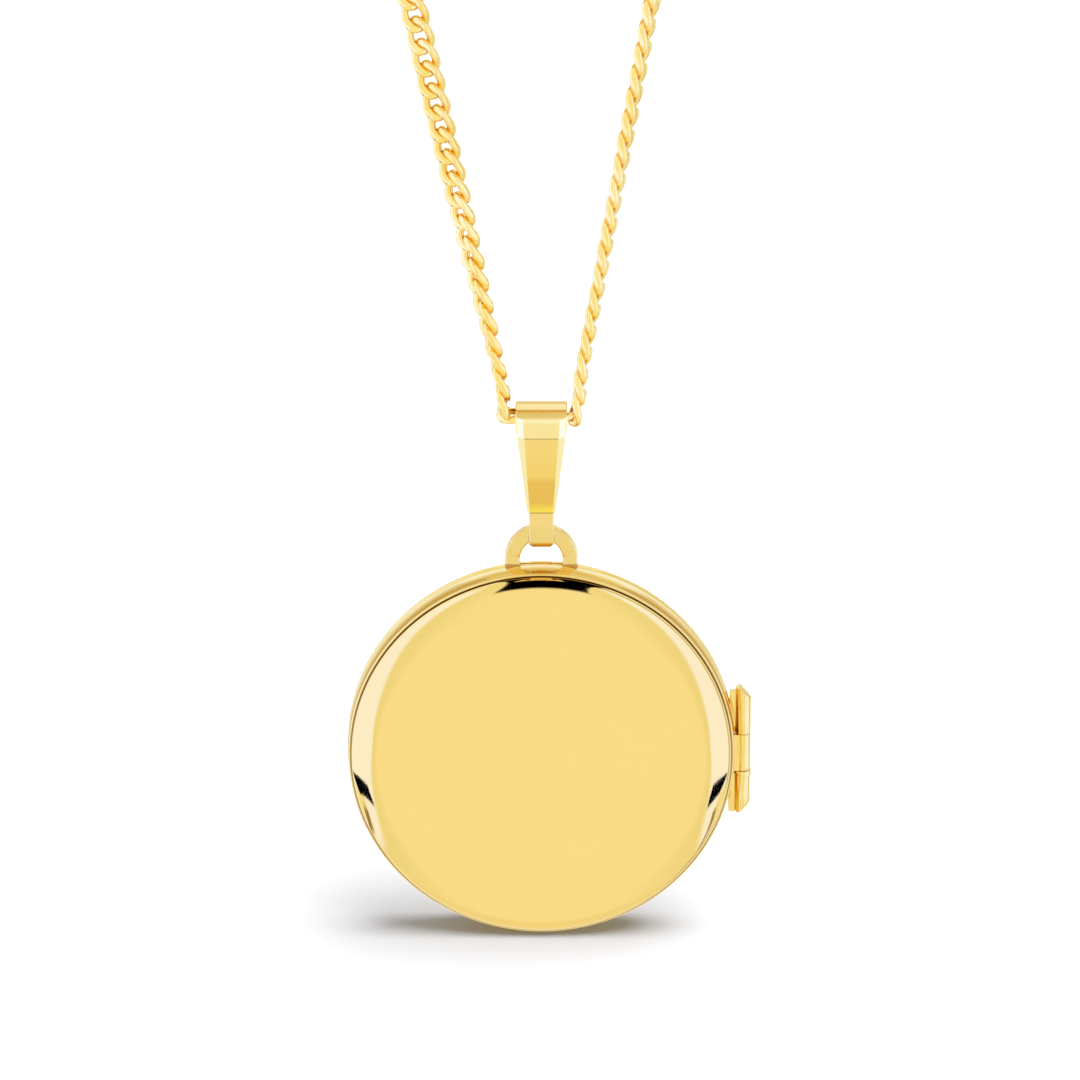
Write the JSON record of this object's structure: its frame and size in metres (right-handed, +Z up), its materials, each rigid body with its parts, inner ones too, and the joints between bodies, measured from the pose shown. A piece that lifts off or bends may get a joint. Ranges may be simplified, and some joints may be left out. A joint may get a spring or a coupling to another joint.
{
  "type": "pendant necklace",
  "caption": "Necklace: a round hinged photo locket on a tapered bail and a curb chain, whose spare length is wound in a coil with its bolt ring clasp.",
  "frame": {"origin": "middle of the peg that the wound chain hangs on", "axes": "+X to the wearer's left, which is right in the picture, +Y to the back of the locket, +Z up"},
  "size_m": [0.026, 0.0094, 0.089],
  "materials": {
    "gold_polished": "mirror polished yellow gold",
    "gold_rim": "polished yellow gold with fine turned lines",
    "gold_bail": "polished yellow gold with bright bevels",
    "gold_inner": "satin yellow gold",
    "gold_chain": "bright polished gold links",
    "gold_clasp": "polished yellow gold",
    "clear_window": "clear glossy sheet",
    "spring_steel": "drawn wire"
  },
  "bodies": {
    "wound_chain": {"chain_coil_left": "gold_chain", "chain_coil_right": "gold_chain", "clasp_body": "gold_clasp", "clasp_spring": "spring_steel", "clasp_end_loop": "gold_clasp", "clasp_jump_ring": "gold_clasp", "chain_end_ring": "gold_clasp"},
    "clasp_bolt": {"clasp_bolt": "gold_clasp"},
    "strands": {"chain_left_strand": "gold_chain", "chain_right_strand": "gold_chain", "chain_in_bail": "gold_chain"},
    "bail": {"bail": "gold_bail"},
    "locket_back": {"back_cover": "gold_polished", "back_rim": "gold_rim", "closing_lip": "gold_inner", "snap_bead": "gold_inner", "back_photo_frame": "gold_inner", "back_window": "clear_window", "pendant_loop": "gold_bail", "hinge_knuckle_top": "gold_rim", "hinge_knuckle_bottom": "gold_rim", "hinge_washer": "gold_rim", "hinge_pin": "gold_inner"},
    "locket_front": {"front_cover": "gold_polished", "front_rim": "gold_rim", "front_photo_frame": "gold_inner", "front_window": "clear_window", "hinge_knuckle_middle": "gold_rim"}
  },
  "joints": [
    {"name": "chain_swing", "type": "hinge", "parent": "wound_chain", "child": "strands", "pos_m": [0.00085, 0, -0.008], "axis": [1, 0, 0], "range_deg": [-45, 45]},
    {"name": "bail_swing", "type": "hinge", "parent": "strands", "child": "bail", "pos_m": [0.00085, 0, -0.04215], "axis": [1, 0, 0], "range_deg": [-60, 60]},
    {"name": "locket_swing", "type": "hinge", "parent": "bail", "child": "locket_back", "pos_m": [0.00085, 0, -0.04964], "axis": [1, 0, 0], "range_deg": [-80, 80]},
    {"name": "cover_open", "type": "hinge", "parent": "locket_back", "child": "locket_front", "pos_m": [0.01388, -0.00032, -0.06431], "axis": [0, 0, 1], "range_deg": [0, 170]},
    {"name": "clasp_pull", "type": "hinge", "parent": "wound_chain", "child": "clasp_bolt", "pos_m": [0, 0.00474, 0.00945], "axis": [0, -1, 0], "range_deg": [0, 40], "stiffness_Nm_per_rad": 0.002, "springref_deg": -17.19, "deforming": ["clasp_spring"]}
  ]
}
